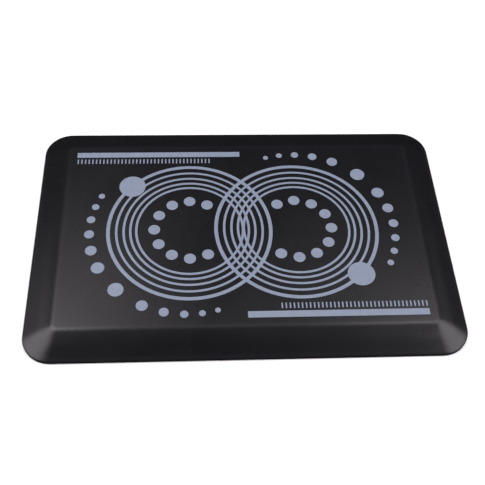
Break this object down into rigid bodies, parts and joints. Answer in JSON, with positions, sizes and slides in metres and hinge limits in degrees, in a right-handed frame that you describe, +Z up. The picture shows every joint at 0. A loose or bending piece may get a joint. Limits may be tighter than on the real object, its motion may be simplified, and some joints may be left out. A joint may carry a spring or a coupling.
{
  "type": "anti fatigue mat",
  "caption": "Rectangular cushioned standing mat with bevelled edges, rounded corners, a soft foam core, a non-slip base and a plain printed ring-and-dot ornament.",
  "frame": {"origin": "middle of the footprint, on the floor", "axes": "+X along the mat's long side to the user's right, +Y away from the user who stands on it, +Z up"},
  "size_m": [0.9144, 0.6096, 0.032],
  "materials": {
    "skin": "satin moulded polyurethane skin with a fine grain, near black",
    "foam": "matt closed-cell foam, charcoal",
    "base": "matt non-slip rubber, black",
    "ink": "satin screen-printed ink film, pale steel blue"
  },
  "bodies": {
    "root": {"top_cover": "skin", "foam_core": "foam", "base_sheet": "base", "print_bar_back": "ink", "print_bar_front": "ink", "print_dot_left_1": "ink", "print_dot_left_2": "ink", "print_dot_left_3": "ink", "print_dot_left_4": "ink", "print_dot_left_5": "ink", "print_dot_left_6": "ink", "print_dot_left_7": "ink", "print_dot_left_8": "ink", "print_dot_left_9": "ink", "print_dot_right_1": "ink", "print_dot_right_2": "ink", "print_dot_right_3": "ink", "print_dot_right_4": "ink", "print_dot_right_5": "ink", "print_dot_right_6": "ink", "print_dot_right_7": "ink", "print_dot_right_8": "ink", "print_dot_right_9": "ink", "print_graded_left_largest": "ink", "print_graded_left_long_1": "ink", "print_graded_left_long_2": "ink", "print_graded_left_long_3": "ink", "print_graded_left_long_4": "ink", "print_graded_left_long_5": "ink", "print_graded_left_long_6": "ink", "print_graded_left_short_1": "ink", "print_graded_left_short_2": "ink", "print_graded_left_short_3": "ink", "print_graded_left_short_4": "ink", "print_graded_left_short_5": "ink", "print_graded_right_largest": "ink", "print_graded_right_long_1": "ink", "print_graded_right_long_2": "ink", "print_graded_right_long_3": "ink", "print_graded_right_long_4": "ink", "print_graded_right_long_5": "ink", "print_graded_right_long_6": "ink", "print_graded_right_short_1": "ink", "print_graded_right_short_2": "ink", "print_graded_right_short_3": "ink", "print_graded_right_short_4": "ink", "print_graded_right_short_5": "ink", "print_rings": "ink"}
  },
  "joints": []
}
